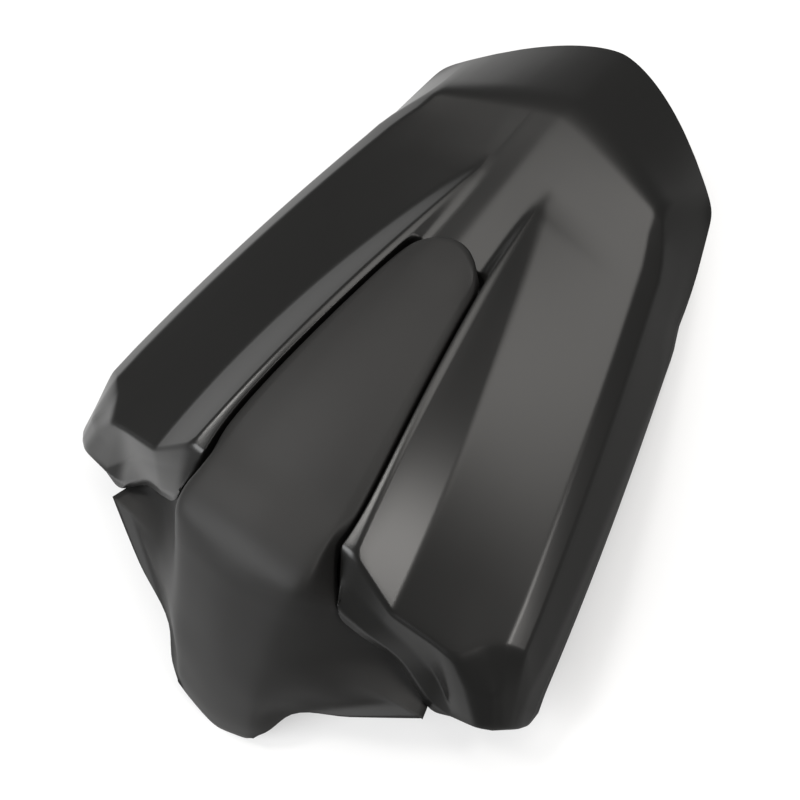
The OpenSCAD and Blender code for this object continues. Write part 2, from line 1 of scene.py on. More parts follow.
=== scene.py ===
import bmesh
import bpy
import numpy as np
from mathutils import Matrix, Vector


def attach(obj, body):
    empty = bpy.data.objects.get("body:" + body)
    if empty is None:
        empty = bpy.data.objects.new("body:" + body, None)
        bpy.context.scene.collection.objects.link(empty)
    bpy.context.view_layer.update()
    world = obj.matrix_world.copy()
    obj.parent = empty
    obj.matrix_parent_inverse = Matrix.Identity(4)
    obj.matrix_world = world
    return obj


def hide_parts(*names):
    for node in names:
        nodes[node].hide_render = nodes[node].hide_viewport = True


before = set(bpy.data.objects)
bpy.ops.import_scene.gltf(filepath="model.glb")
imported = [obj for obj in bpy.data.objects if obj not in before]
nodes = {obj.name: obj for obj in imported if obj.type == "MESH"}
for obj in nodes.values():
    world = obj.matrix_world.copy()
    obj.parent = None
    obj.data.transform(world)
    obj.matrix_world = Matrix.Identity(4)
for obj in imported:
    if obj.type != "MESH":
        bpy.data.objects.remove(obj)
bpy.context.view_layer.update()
print("stage: frame loaded")

# What a user would change. Lengths of the shells are in millimetres, as in the drawing:
# x from the middle, y from the tongue's front edge to the tail, z from the floor.
cowl = {
    "length": 350.0,
    "halfWidth": 123.5,
    "tailHeight": 22.6,
    "wall": 2.6,
    "channelDepth": 9.0,
    "channelDraft": 0.8,
    "channelCrown": 1.5,
    "landWidth": 3.2,
    "landDrop": 0.3,
    "faceCrown": 0.5,
    "roofSlope": 0.345,
    "roofFall": 0.14,
    "roofCrown": 0.6,
    "colour": (0.0056, 0.0055, 0.0051, 1.0),
    "roughness": 0.31,
    "grain": 0.02,
    "grainScale": 900,
}
panel = {
    "wall": 2.4,
    "seam": 1.8,
    "skirt": 4.5,
    "brow": 88.49,
    "sunk": 1.2,
    "crownTip": 3.6,
    "crownBrow": 5.0,
    "tipHalfWidth": 17.2,
    "tipSweep": 0.0365,
    "tipReach": 2.2,
    "tipEdgeDrop": 3,
    "colour": (0.0165, 0.0162, 0.0158, 1.0),
    "roughness": 0.5,
    "specular": 0.25,
    "grain": 0.16,
    "grainScale": 2200,
}
pan = {
    "top": 16.5,
    "colour": (0.018, 0.018, 0.018, 1.0),
    "roughness": 0.5,
    "grain": 0.1,
    "grainScale": 1500,
}
steel = {
    "colour": (0.62, 0.63, 0.65, 1.0),
    "roughness": 0.34,
    "grain": 0.05,
    "grainScale": 700,
}
rubber = {
    "colour": (0.014, 0.014, 0.014, 1.0),
    "roughness": 0.72,
    "grain": 0.2,
    "grainScale": 1200,
}
boss = {"diameter": 8.4, "coneFoot": 4.2, "coneTop": 1.2, "coneShare": 0.36}
pad = {"diameter": 13.0, "rise": 3, "depth": 2.4}
floorLook = {
    "colour": (0.42, 0.42, 0.42, 1.0),
    "roughness": 0.9,
    "size": 12.0,
    "glow": 0.46,
    "farGlow": 0.92,
    "farFrom": 0.4,
    "farTo": 1.3,
    "mirrorLeft": 0.6,
    "mirrorRight": 0.02,
    "mirrorReach": 0.15,
    "mirrorShade": 0.5,
    "shadeFrom": -0.05,
}
skyLook = {"level": 0.17, "inMirrors": 0.03}

# Where the cowl's forms begin and end along its length
tailY = cowl["length"]
creaseY = tailY - 36
tipY = tailY - 78
lipY = tailY - 105
cornerY = tailY - 42
rimAtArms, rimAtTips, rimAtCrease = 98, tipY - 14, 297
tailH = cowl["tailHeight"]

# The step at the channel's end, as shares of the way from the arms to the rib tips,
# and the share of the shoulder that lies beside the ribs
stepFoot, stepTop = 0.71, 0.748
besideRibs = 0.819
# Half the width of the channel's end, at the step and at the tips
endHalfWidths = 15, 12.5


def vec(*values):
    return np.array(values, float)


def mix(a, b, t):
    return a + (b - a) * t


def bowed(a, b, h, t):
    return mix(a, b, t) + 4 * h * t * (1 - t)


def smooth(t):
    t = min(1.0, max(0.0, t))
    return t * t * (3 - 2 * t)


# Front end, rear end and bow of the lines that the cowl hangs on
crestLine = vec(42.9, 111, 81), vec(16, tipY, 35.4), vec(0, 0, 8.8)
grooveLine = vec(63.8, 98, 65.8), vec(19, tipY, 34.7), vec(5.6, 0, 6.5)
shoulderLine = vec(106, 115, 49.4), vec(58, tailY - 55.5, 24.4), vec(2.5, 0, 2.3)
# The shoulder lies this much further out, so that the bevel can be cut off it
bevelRoom = vec(5.6, 0, -2)
bevelFade = 0.15
# The lower edge. Its front part is raised, its rear part runs round the tail's corners.
rimShape = {
    "frontY": 87,
    "lipX": 90,
    "bow": 2.2,
    "raise": 12,
    "raisePower": 0.6,
    "sideX": 87,
    "cornerX": 71.5,
    "cornerPower": 1.5,
    "easeX": 3,
    "easeRun": 12,
}
lipShape = {
    "height": 16,
    "run": 145,
    "power": 0.7,
    "lean": 0.08,
    "sideShare": 0.3,
    "sideBulge": 2.2,
    "fadeFrom": 230,
    "fadeRun": 18,
}
tailShape = {
    "creaseX": 58,
    "creaseSweep": 19.5,
    "creasePower": 1.3,
    "creaseRise": 1.8,
    "rimSweep": 42,
    "rimPower": 1.6,
}
# How much a crest's land widens at the arms, and how it closes at the tips
landShape = {"widening": 1.2, "wideningPower": 12, "closedAt": 1.04, "closing": 3.2}
# Shares of the way from groove to shoulder at which the top face has its columns
faceShares = (0, 0.2, 0.33, 0.42, 0.5, 0.75, 1)
# Columns of the cowl's net, from the middle to the rim
crestAt, grooveAt, shoulderAt, lipAt, rimAt = 3, 4, 10, 11, 12
faceColumns = slice(grooveAt + 1, shoulderAt)


def crest(u):
    return bowed(*crestLine, u)


def groove(u):
    return bowed(*grooveLine, u)


def shoulder(s):
    return bowed(*shoulderLine, s) + bevelRoom * smooth((1 - s) / bevelFade)


def ridgeZ(y):
    return tailH + cowl["roofSlope"] * (creaseY - y)


def land(u):
    r = landShape
    wider = 1 + r["widening"] * (1 - u) ** r["wideningPower"]
    return cowl["landWidth"] * wider * min(1.0, (r["closedAt"] - u) * r["closing"])


def rim(y):
    r = rimShape
    if y < lipY:
        along = (y - r["frontY"]) / (lipY - r["frontY"])
        x = bowed(cowl["halfWidth"], r["lipX"], r["bow"], along)
        z = r["raise"] * ((lipY - y) / (lipY - rimAtArms)) ** r["raisePower"]
        return vec(x, y, z)
    t = max(0.0, (y - lipY) / (cornerY - lipY))
    x = mix(r["sideX"], r["cornerX"], t ** r["cornerPower"])
    return vec(x + r["easeX"] * max(0.0, 1 - (y - lipY) / r["easeRun"]), y, 0)


# The upper edge of the upright lip, which runs out into the side towards the tail
def lip(y, top):
    r = lipShape
    h = r["height"] * (max(0.0, lipY - y) / r["run"]) ** r["power"]
    upright = rim(y) + vec(-r["lean"] * h, 0, h)
    side = mix(rim(y), top - bevelRoom, r["sideShare"]) + vec(r["sideBulge"], 0, 0)
    return mix(upright, side, smooth((y - r["fadeFrom"]) / r["fadeRun"]))


def channelEdge(u):
    k = crest(u)
    if u >= stepTop:
        x = mix(*endHalfWidths, (u - stepTop) / (1 - stepTop))
        return vec(x, k[1], ridgeZ(k[1]) - cowl["roofFall"] * x)
    foot = land(u) + cowl["channelDraft"]
    return k - vec(foot, 0, cowl["landDrop"] + cowl["channelDepth"])


def channelMid(u):
    e = channelEdge(u)
    z = ridgeZ(e[1]) if u >= stepTop else e[2] + cowl["channelCrown"]
    return vec(0, e[1], z)


def topFace(g, s):
    return [bowed(g, s, vec(0, 0, cowl["faceCrown"]), f) for f in faceShares]


# One row of the net across the ribs, from the middle to the rim
def section(u):
    k, s, y = crest(u), shoulder(besideRibs * u), mix(rimAtArms, rimAtTips, u)
    inner = [channelMid(u), channelEdge(u), k - vec(land(u), 0, cowl["landDrop"]), k]
    return np.array(inner + topFace(groove(u), s) + [lip(y, s), rim(y)])


def tailCrease(x):
    r = tailShape
    t = x / r["creaseX"]
    y = creaseY - r["creaseSweep"] * t ** r["creasePower"]
    return vec(x, y, tailH + r["creaseRise"] * t * t)


def tailRim(x):
    r = tailShape
    share = (x / rimShape["cornerX"]) ** r["rimPower"]
    return vec(x, tailY - r["rimSweep"] * share, 0)


# Just behind the tips, where the roof runs from the ridge to the shoulders
def roofRow():
    xs, y = (0, 12.5, 15.3, 16.3, 18.8), tipY + 3
    middle, s = vec(0, y, ridgeZ(y)), shoulder(besideRibs)
    inner = [bowed(middle, s, vec(0, 0, cowl["roofCrown"]), x / s[0]) for x in xs]
    ends = [lip(rimAtTips, s), rim(rimAtTips)]
    return np.array(inner + topFace(inner[-1], s)[1:] + ends)


def creaseRow():
    xs = (0, 12, 13.5, 16, 22.5, 29.6, 34.2, 37.4, 40.3, 49.1, 58)
    return np.array([tailCrease(x) for x in xs] + [vec(69, 299, 8), rim(rimAtCrease)])


def rimRow():
    xs = (0, 12, 14, 17, 24, 32, 37, 41, 44.5, 53, 62, 68, 72.1)
    return np.array([tailRim(x) for x in xs])


# The corner b between a and c, rounded over a length, as steps + 1 points. The round
# takes no more than a share of either side.
def corner(a, b, c, length, steps):
    most, tiny = 0.45, 1e-6
    toA, toC = np.linalg.norm(a - b), np.linalg.norm(c - b)
    p = b + (a - b) / max(toA, tiny) * min(length, most * toA)
    q = b + (c - b) / max(toC, tiny) * min(length, most * toC)
    ts = [k / steps for k in range(steps + 1)]
    return [mix(mix(p, b, t), mix(b, q, t), t) for t in ts]


# The corner cut off flat, with small rounds at both ends of the cut
def flatCorner(a, b, c, length, steps):
    before, after, endRound = 1.3, 0.9, 1.6
    p = corner(a, b, c, before * length, 1)[0]
    q = corner(a, b, c, after * length, 1)[1]
    n = (steps - 1) // 2
    return corner(a, p, q, endRound, n) + corner(p, q, c, endRound, n)


# A polyline with rounded corners {index: (length, steps)} and its stretches cut up
def rounded(points, corners, cuts, flat=()):
    out = []
    for i, p in enumerate(points):
        piece = [p]
        if i in corners:
            length, steps = corners[i]
            shape = flatCorner if i in flat else corner
            piece = shape(points[i - 1], p, points[i + 1], length, steps)
        if out:
            n = cuts[i - 1]
            out += [mix(out[-1], piece[0], k / n) for k in range(1, n)]
        out += piece
    return np.array(out)


# A smooth line through the points; at a stop it comes in and leaves with no slope
def hermite(points, cuts, stops=()):
    n = len(points)
    d = [max(np.linalg.norm(points[i + 1] - points[i]), 1e-6) for i in range(n - 1)]
    slope = []
    for i in range(n):
        if i in stops:
            slope.append(vec(0, 0, 0))
        elif i == 0:
            slope.append((points[1] - points[0]) / d[0])
        elif i == n - 1:
            slope.append((points[-1] - points[-2]) / d[-1])
        else:
            before = (points[i] - points[i - 1]) / d[i - 1]
            after = (points[i + 1] - points[i]) / d[i]
            slope.append((before * d[i] + after * d[i - 1]) / (d[i] + d[i - 1]))
    out = [points[0]]
    for i in range(n - 1):
        for k in range(1, cuts[i] + 1):
            t = k / cuts[i]
            t2, t3 = t * t, t * t * t
            out.append(
                (2 * t3 - 3 * t2 + 1) * points[i]
                + (t3 - 2 * t2 + t) * slope[i] * d[i]
                + (3 * t2 - 2 * t3) * points[i + 1]
                + (t3 - t2) * slope[i + 1] * d[i]
            )
    return np.array(out)


def mirroredRow(half):
    left = half[:0:-1] * vec(-1, 1, 1)
    return np.concatenate([left, half])


# The mean of the four neighbours of each point that isn't on the net's border
def aroundMean(g):
    return (g[:-2, 1:-1] + g[2:, 1:-1] + g[1:-1, :-2] + g[1:-1, 2:]) / 4


# Each point drawn towards its two neighbours across, a number of times, where keep isn't 1
def softened(g, times, keep):
    for _ in range(times):
        before, after = np.roll(g, 1, 1), np.roll(g, -1, 1)
        moved = 0.25 * before + 0.5 * g + 0.25 * after
        g = keep * g + (1 - keep) * moved
    return g


def normalsOf(g):
    n = np.cross(np.gradient(g, axis=1), np.gradient(g, axis=0))
    return n / np.maximum(np.linalg.norm(n, axis=2, keepdims=True), 1e-9)


def levelled(p, start, z):
    nearlyLevel = 0.2
    d = p - start
    return p if abs(d[2]) < nearlyLevel else start + d * (z - start[2]) / d[2]


# The inner skin, brought level with the outer one at the chosen rims
def lining(outer, wall, first=False, last=False, sides=False):
    g = outer - normalsOf(outer) * wall
    if sides:
        for i in range(len(g)):
            g[i, 0] = levelled(g[i, 0], g[i, 2], outer[i, 0, 2])
            g[i, -1] = levelled(g[i, -1], g[i, -3], outer[i, -1, 2])
    for j in range(g.shape[1]):
        if last:
            g[-1, j] = levelled(g[-1, j], g[-3, j], outer[-1, j, 2])
        if first:
            g[0, j] = levelled(g[0, j], g[2, j], outer[0, j, 2])
    return g


# A drawn point in millimetres as a point of the frame, which counts from mid-length
def toFrame(p):
    return Vector((p[0], p[1] - tailY / 2, p[2])) / 1000


def addGrid(bm, g):
    rows, cols = g.shape[:2]
    made = bmesh.ops.create_grid(
        bm, x_segments=cols - 1, y_segments=rows - 1, size=0.5
    )["verts"]
    for v in made:
        i = round((v.co.y + 0.5) * (rows - 1))
        j = round((v.co.x + 0.5) * (cols - 1))
        v.co = toFrame(g[i, j])


# Both skins, joined along their borders; the tail's lower edge stays sharp
def makeShell(outer, inner):
    sharpBelow, sharpBehind = 0.003, 0.09
    bm = bmesh.new()
    addGrid(bm, outer)
    addGrid(bm, inner)
    border = [e for e in bm.edges if e.is_boundary]
    for e in border:
        onTail = [v.co.z < sharpBelow and v.co.y > sharpBehind for v in e.verts]
        e.smooth = not all(onTail)
    bmesh.ops.bridge_loops(bm, edges=border)
    bmesh.ops.recalc_face_normals(bm, faces=bm.faces)
    return bm


# A closed round post between two heights
def addTube(bm, x, y, z0, z1, r0, r1=None, segments=40):
    bmesh.ops.create_cone(
        bm,
        cap_ends=True,
        segments=segments,
        radius1=r0 / 1000,
        radius2=(r0 if r1 is None else r1) / 1000,
        depth=(z1 - z0) / 1000,
        matrix=Matrix.Translation(toFrame((x, y, (z0 + z1) / 2))),
    )


# A screw boss with a coned end below the skin, on both sides unless it is in the middle
def addBoss(bm, x, y, foot, top):
    r = boss["diameter"] / 2
    coneFoot, coneTop = top - boss["coneFoot"], top - boss["coneTop"]
    for side in (-1, 1) if x else (1,):
        addTube(bm, side * x, y, foot, coneFoot, r)
        addTube(bm, side * x, y, coneFoot, coneTop, r, r * boss["coneShare"])


def finishMesh(name, bm, material, slot, *replaced):
    for f in bm.faces:
        f.smooth = True
    mesh = bpy.data.meshes.new(name)
    bm.to_mesh(mesh)
    bm.free()
    obj = bpy.data.objects.new(name, mesh)
    bpy.context.scene.collection.objects.link(obj)
    mesh.materials.append(material)
    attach(obj, "root")
    if replaced:
        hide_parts(*replaced)
    return obj


# Materials
def principled(name, spec):
    mat = bpy.data.materials.new(name)
    mat.use_nodes = True
    shader = mat.node_tree.nodes["Principled BSDF"]
    shader.inputs["Base Color"].default_value = spec["colour"]
    shader.inputs["Roughness"].default_value = spec["roughness"]
    return mat, shader


# A shared group: fine height noise in object space as a normal, and a roughness
# that wanders by roughSpan in larger clouds
roughSpan = 0.05


def surfaceGroup():
    group = bpy.data.node_groups.new("fineSurface", "ShaderNodeTree")
    face = group.interface
    for name, value in (("Scale", 1500.0), ("Strength", 0.1), ("Roughness", 0.4)):
        s = face.new_socket(name=name, in_out="INPUT", socket_type="NodeSocketFloat")
        s.default_value = value
    face.new_socket(name="Normal", in_out="OUTPUT", socket_type="NodeSocketVector")
    face.new_socket(name="Roughness", in_out="OUTPUT", socket_type="NodeSocketFloat")
    n, link = group.nodes, group.links.new
    into, out = n.new("NodeGroupInput"), n.new("NodeGroupOutput")
    place = n.new("ShaderNodeTexCoord")
    noise = n.new("ShaderNodeTexNoise")
    noise.inputs["Detail"].default_value = 3
    link(place.outputs["Object"], noise.inputs["Vector"])
    link(into.outputs["Scale"], noise.inputs["Scale"])
    bump = n.new("ShaderNodeBump")
    bump.inputs["Distance"].default_value = 0.0002
    link(into.outputs["Strength"], bump.inputs["Strength"])
    link(noise.outputs[0], bump.inputs["Height"])
    link(bump.outputs["Normal"], out.inputs["Normal"])
    cloud = n.new("ShaderNodeTexNoise")
    cloud.inputs["Scale"].default_value = 14
    link(place.outputs["Object"], cloud.inputs["Vector"])
    shift = n.new("ShaderNodeMath")
    shift.operation = "MULTIPLY_ADD"
    shift.inputs[1].default_value = roughSpan
    link(cloud.outputs[0], shift.inputs[0])
    link(into.outputs["Roughness"], shift.inputs[2])
    link(shift.outputs[0], out.inputs["Roughness"])
    return group


fineSurface = surfaceGroup()


def withSurface(name, spec):
    mat, shader = principled(name, spec)
    tree = mat.node_tree
    g = tree.nodes.new("ShaderNodeGroup")
    g.node_tree = fineSurface
    g.inputs["Scale"].default_value = spec["grainScale"]
    g.inputs["Strength"].default_value = spec["grain"]
    g.inputs["Roughness"].default_value = spec["roughness"] - roughSpan / 2
    tree.links.new(g.outputs["Normal"], shader.inputs["Normal"])
    tree.links.new(g.outputs["Roughness"], shader.inputs["Roughness"])
    return mat, shader


paintMat, _ = withSurface("satinPaint", cowl)
grainMat, grainShader = withSurface("grainedPlastic", panel)
panMat, _ = withSurface("panPlastic", pan)
rubberMat, _ = withSurface("damperRubber", rubber)
steelMat, steelShader = withSurface("zincSteel", steel)
steelShader.inputs["Metallic"].default_value = 1.0
grainShader.inputs["Specular IOR Level"].default_value = panel["specular"]
print("stage: materials")

# The outer cowl: rows at the arms' front ends, which turn down and in
armFoot = [
    (0, 96, 64),
    (43.2, 94.5, 60.5),
    (42.2, 91, 68.6),
    (44.6, 83.7, 62.4),
    (56, 81.6, 54.2),
    (69, 80.3, 44.5),
    (88.2, 67.5, 27.9),
    (97, 71.2, 30.2),
    (109.6, 74.3, 34.5),
    (115, 76.5, 31),
    (119.2, 79.5, 27),
    (121.5, 81, 20),
    (122.6, 83, 13),
]
armFold = [
    (0, 104, 67.5),
    (38.6, 103, 64.4),
    (38.2, 101, 73.6),
    (43.5, 98.5, 72),
    (62, 92, 60),
    (76, 88.5, 51),
    (87.5, 82, 38),
    (97, 73.4, 32),
    (108.9, 75.8, 36.3),
    (114.6, 78, 33),
    (119.2, 80.5, 29),
    (121.8, 82, 21.5),
    (123.1, 84.5, 12.6),
]
armFoot, armFold = np.array(armFoot, float), np.array(armFold, float)
armTop = section(0)
armTop[faceColumns] = [
    (75.6, 97.2, 62.6),
    (83.2, 96.7, 60.4),
    (88.5, 96.3, 58.8),
    (93.2, 96, 57.3),
    (99.5, 105.5, 53.3),
]
armTop[lipAt] = (119.3, 98, 27.5)
armFace = mix(armFold, armTop, 0.5)
armFace[8:] = [
    (102.2, 86.3, 46.6),
    (110, 90, 43),
    (115, 95, 38),
    (120.3, 90, 26),
    (123.5, 90, 11.9),
]

# Behind the arms' top row the rows run over into the ribs' plain section
nearEnd = 0.1
nearRows = []
for u in (0.025, 0.05, 0.075, nearEnd):
    row = section(u)
    for part in (faceColumns, lipAt):
        row[part] = mix(armTop[part], section(nearEnd)[part], u / nearEnd)
    nearRows.append(row)
ribShares = sorted(set(np.round(np.linspace(0.13, 0.97, 29), 4)) | {stepFoot, stepTop})
tailRows = [roofRow()]
atTips, atCrease = roofRow(), creaseRow()
for t in (0.2, 0.4, 0.6):
    row = mix(atTips, atCrease, t)
    s, y = shoulder(mix(besideRibs, 1, t)), mix(rimAtTips, rimAtCrease, t)
    row[shoulderAt] = s
    row[lipAt] = mix(lip(y, s), mix(atTips[lipAt], atCrease[lipAt], t), t)
    row[rimAt] = rim(y)
    tailRows.append(row)
controlRows = [armFoot, armFold, armFace, armTop] + nearRows
controlRows += [section(u) for u in ribShares] + tailRows
creaseIndex = len(controlRows)
controlRows += [creaseRow(), rimRow()]

# Rounded across: length and steps of each edge's round, then the cuts between the edges
acrossCorners = {1: (2, 3), 2: (0.7, 3), crestAt: (1.5, 5), grooveAt: (2.2, 6)}
acrossCorners |= {5: (8, 4), 6: (6, 4), 8: (3, 4), shoulderAt: (5.5, 9), lipAt: (3, 5)}
acrossCuts = [8, 2, 1, 3, 2, 2, 2, 2, 3, 3, 5, 3]
armCrestLengths = (5, 5, 6, 6)
armEdges = {1: (3, 3), 2: (2.5, 3)}
armEdgeRows, bevelFromRow = 3, 2
creaseReach, rimReach = 40, 44
across = []
for k, controls in enumerate(controlRows):
    corners = dict(acrossCorners)
    if k < len(armCrestLengths):
        corners[crestAt] = (armCrestLengths[k], 5)
    if k < armEdgeRows:
        corners |= armEdges
    flat = (shoulderAt,) if bevelFromRow <= k < creaseIndex else ()
    line = rounded(controls, corners, acrossCuts, flat)
    if k == creaseIndex:
        line = np.array([tailCrease(p[0]) if p[0] < creaseReach else p for p in line])
    if k > creaseIndex:
        line = np.array([tailRim(p[0]) if p[0] < rimReach else p for p in line])
    across.append(line)

# Rounded along: the fold and the top of the arms, and the tail's crease
pointCounts = [1 + acrossCorners.get(j, (0, 0))[1] for j in range(rimAt + 1)]
for j, cuts in enumerate(acrossCuts):
    pointCounts[j] += cuts - 1
lastColumns = np.cumsum(pointCounts)
topLengths = (2.5, 3, 5, 5, 2.5, 2.5, 2.5, 2.5, 4, 8, 8, 7, 6)
lengthCuts = [3, 5, 5] + [1] * (len(controlRows) - 5) + [8]
half = []
for k, line in enumerate(np.array(across).transpose(1, 0, 2)):
    j = int(np.searchsorted(lastColumns, k, side="right"))
    foldLength = 2 if j < 8 else 3
    corners = {1: (foldLength, 4), 3: (topLengths[j], 8), creaseIndex: (9, 8)}
    half.append(rounded(line, corners, lengthCuts))
half = np.array(half).transpose(1, 0, 2)

# The tail's corner relaxed, with its two free borders
cornerRows, cornerCols, relaxTimes = 18, 17, 40
cornerNet = half[-cornerRows:, -cornerCols:]
for _ in range(relaxTimes):
    fresh = cornerNet.copy()
    fresh[1:-1, 1:-1] = aroundMean(cornerNet)
    fresh[1:-1, -1] = (cornerNet[:-2, -1] + cornerNet[2:, -1]) / 2
    fresh[-1, 1:-1] = (cornerNet[-1, :-2] + cornerNet[-1, 2:]) / 2
    fresh[-1, -1] = (cornerNet[-2, -1] + cornerNet[-1, -2]) / 2
    cornerNet[:] = (cornerNet + fresh) / 2

# Both skins; the wall thins out in the arms' narrow front ends
cowlOuter = np.array([mirroredRow(r) for r in half])
fromMiddle = np.abs(np.arange(cowlOuter.shape[1]) - cowlOuter.shape[1] // 2)
softCols, fadeCols, softTimes = 5, 3, 4
keepSides = np.clip((fromMiddle - softCols) / fadeCols, 0, 1)[None, :, None]
cowlOuter = softened(cowlOuter, softTimes, keepSides)
thinRows, thinnest = 14, 0.3
cowlWall = cowl["wall"] * np.clip(np.arange(len(cowlOuter)) / thinRows, thinnest, 1)
cowlInner = lining(cowlOuter, cowlWall[:, None, None], last=True, sides=True)
cowlInner[..., 2] = np.maximum(cowlInner[..., 2], 0)
cowlBm = makeShell(cowlOuter, cowlInner)
for u in (0.1, 0.5, 0.92):
    edge = bowed(*shoulderLine, besideRibs * u)
    p = bowed(groove(u), edge, vec(0, 0, cowl["faceCrown"]), 0.5)
    addBoss(cowlBm, p[0], p[1], pan["top"], p[2])

# Width and height shares of the panel's crown, from the middle to its edge
crownShares = ((0, 1), (0.5, 0.84), (0.86, 0.5), (0.94, 0.28), (0.985, 0.05))


def panelTop(u):
    k = crest(u)
    x, z = k[0] - land(u) - panel["seam"], k[2] - panel["sunk"]
    c = mix(panel["crownBrow"], panel["crownTip"], u / 0.75)
    crown = [(f * x, k[1], z + h * c) for f, h in crownShares]
    skirt = [(0, 1), (0.1, 0.55 * panel["skirt"]), (0.3, panel["skirt"])]
    return np.array(crown + [(x - inset, k[1], z - drop) for inset, drop in skirt])


# Pads below the channel, in which the panel's screws sit
panelScrews = (0.08, 0.36)
padTops = {}
for u in panelScrews:
    padTops[u] = crest(u)[2] - cowl["landDrop"] - cowl["channelDepth"] + pad["rise"]
    seat = padTops[u] - pad["rise"] - cowl["wall"] - pad["depth"]
    p = panelTop(u)[1]
    for side in (-1, 1):
        addTube(cowlBm, side * p[0], p[1], seat, padTops[u], pad["diameter"] / 2)
finishMesh("outerCowlShell", cowlBm, paintMat, "satin_black_paint", "outer_cowl")
print("stage: outer cowl")

# The centre panel: tongue and wings in front of the ribs, row by row to the brow
foldLine = [
    (17.5, 5.2, 5.6),
    (19.8, 12, 15.5),
    (22, 22, 27),
    (24, 31, 37),
    (26.3, 46, 50.5),
    (28, 57.5, 61),
    (29.8, 69.5, 71.6),
    (31.8, 79, 79.5),
    (33.3, 87.5, 85),
    (33.8, 96, 86.2),
    (32.5, 106, 85.3),
]
midLine = [
    (0, 0, 0),
    (0, 6, 10),
    (0, 15.5, 22.5),
    (0, 27, 35.5),
    (0, 42, 51),
    (0, 54, 62.5),
    (0, 67, 74),
    (0, 77, 82),
    (0, 86, 86.5),
    (0, 95, 88.5),
    (0, 106, 87.6),
]
edgeLine = [
    (21.5, 8.2, 10),
    (27.5, 15.5, 14.8),
    (35.6, 30.4, 22.1),
    (60, 45.8, 28),
    (87.4, 63.8, 31),
    (83, 76, 25.5),
    (70, 84.5, 39),
    (56, 86, 50),
    (45.6, 88.2, 58.6),
    (38.6, 94.5, 64.6),
    (34.7, 103.5, 70),
]
wingSag = (0, 0.3, 1.5, 4.6, 7, 7, 6.3, 4.5, 2, 0.8, 0.3)
foldLine, midLine, edgeLine = map(np.array, (foldLine, midLine, edgeLine))


def sidePoint(i, t):
    return bowed(foldLine[i], edgeLine[i], wingSag[i] * vec(-0.25, 0.5, -0.8), t)


def panelFront(i):
    middle = mix(midLine[i], foldLine[i], 0.5) + vec(0, -0.4, 0.4)
    sides = [sidePoint(i, t) for t in (0.2, 0.4, 0.6, 0.8, 1)]
    return np.array([midLine[i], middle, foldLine[i]] + sides)


# A row near the tip: the crown turns down, and the sides close in on its corner
def panelTip(back, rise, down):
    narrow, sides = panel["tipHalfWidth"], panelTop(0.7)[len(crownShares) :]
    wide = mix(sides[0][0], narrow, down)
    nose = crest(0.783)[1] + panel["tipReach"]
    row = []
    for (f, _), drawnIn in zip(crownShares, (0, 0.32, 0.6, 0.75, 0.86)):
        f = mix(f, drawnIn, down)
        x = f * wide
        y = nose - panel["tipSweep"] * x * x
        z = ridgeZ(y) + panel["sunk"] + rise * (1 - 0.9 * f**5)
        row.append((x, y - back, z))
    for f, side in zip((0.93, 0.98, 1), sides):
        x = f * narrow
        y = nose - panel["tipSweep"] * x * x
        foot = vec(x, y, ridgeZ(y) + panel["sunk"] - panel["tipEdgeDrop"] * f**10)
        row.append(mix(side, foot, down))
    return np.array(row)


topShares = (0.08, 0.16, 0.26, 0.36, 0.48, 0.58, 0.66)
tipShape = ((3.2, 4.6, 0), (0.9, 3.4, 0.5), (0.1, 1.6, 0.85), (0, 0, 1))
panelRows = [panelFront(i) for i in range(len(midLine))]
panelRows += [panelTop(u) for u in topShares] + [panelTip(*p) for p in tipShape]
panelRows = np.array(panelRows)
rowCuts = [4, 5, 6, 6, 5, 5, 4, 4, 4, 4, 5, 4, 4, 4, 4, 4, 4, 3, 3, 3, 3]
acrossPanel = [6, 6, 5, 4, 4, 4, 4]
wingCorner = 4
lines = []
for j in range(panelRows.shape[1]):
    stops = (wingCorner,) if j > 5 else ()
    lines.append(hermite(panelRows[:, j], rowCuts, stops))
panelHalf = []
for row in np.array(lines).transpose(1, 0, 2):
    full = np.concatenate([row[1:2] * vec(-1, 1, 1), row])
    panelHalf.append(hermite(full, [1] + acrossPanel, (3,))[1:])
panelHalf = np.array(panelHalf)
tipRows, tipFromCol, tipTimes = 16, 15, 8
tipNet = panelHalf[-tipRows:, tipFromCol:]
for _ in range(tipTimes):
    tipNet[1:-1, 1:-1] = mix(tipNet[1:-1, 1:-1], aroundMean(tipNet), 0.5)

# The fold beside the tongue is softened, and less so towards the tip
panelOuter = np.array([mirroredRow(r) for r in panelHalf])
cols = panelOuter.shape[1]
reach = np.abs(np.arange(cols) - (cols - 1) / 2)
foldAt, foldReach, foldFade = sum(acrossPanel[:2]), 5, 5
keepCols = np.clip((np.abs(reach - foldAt) - foldReach) / foldFade, 0, 1)
fromFront = np.arange(len(panelOuter))
browRow, browFade, keepMost, foldTimes = sum(rowCuts[:10]), 8, 0.85, 14
keepRows = np.clip((fromFront - browRow) / browFade, 0, keepMost)
keep = np.maximum(keepCols[None, :, None], keepRows[:, None, None])
panelOuter = softened(panelOuter, foldTimes, keep)
panelOuter[..., 2] = np.minimum(panelOuter[..., 2], panel["brow"])

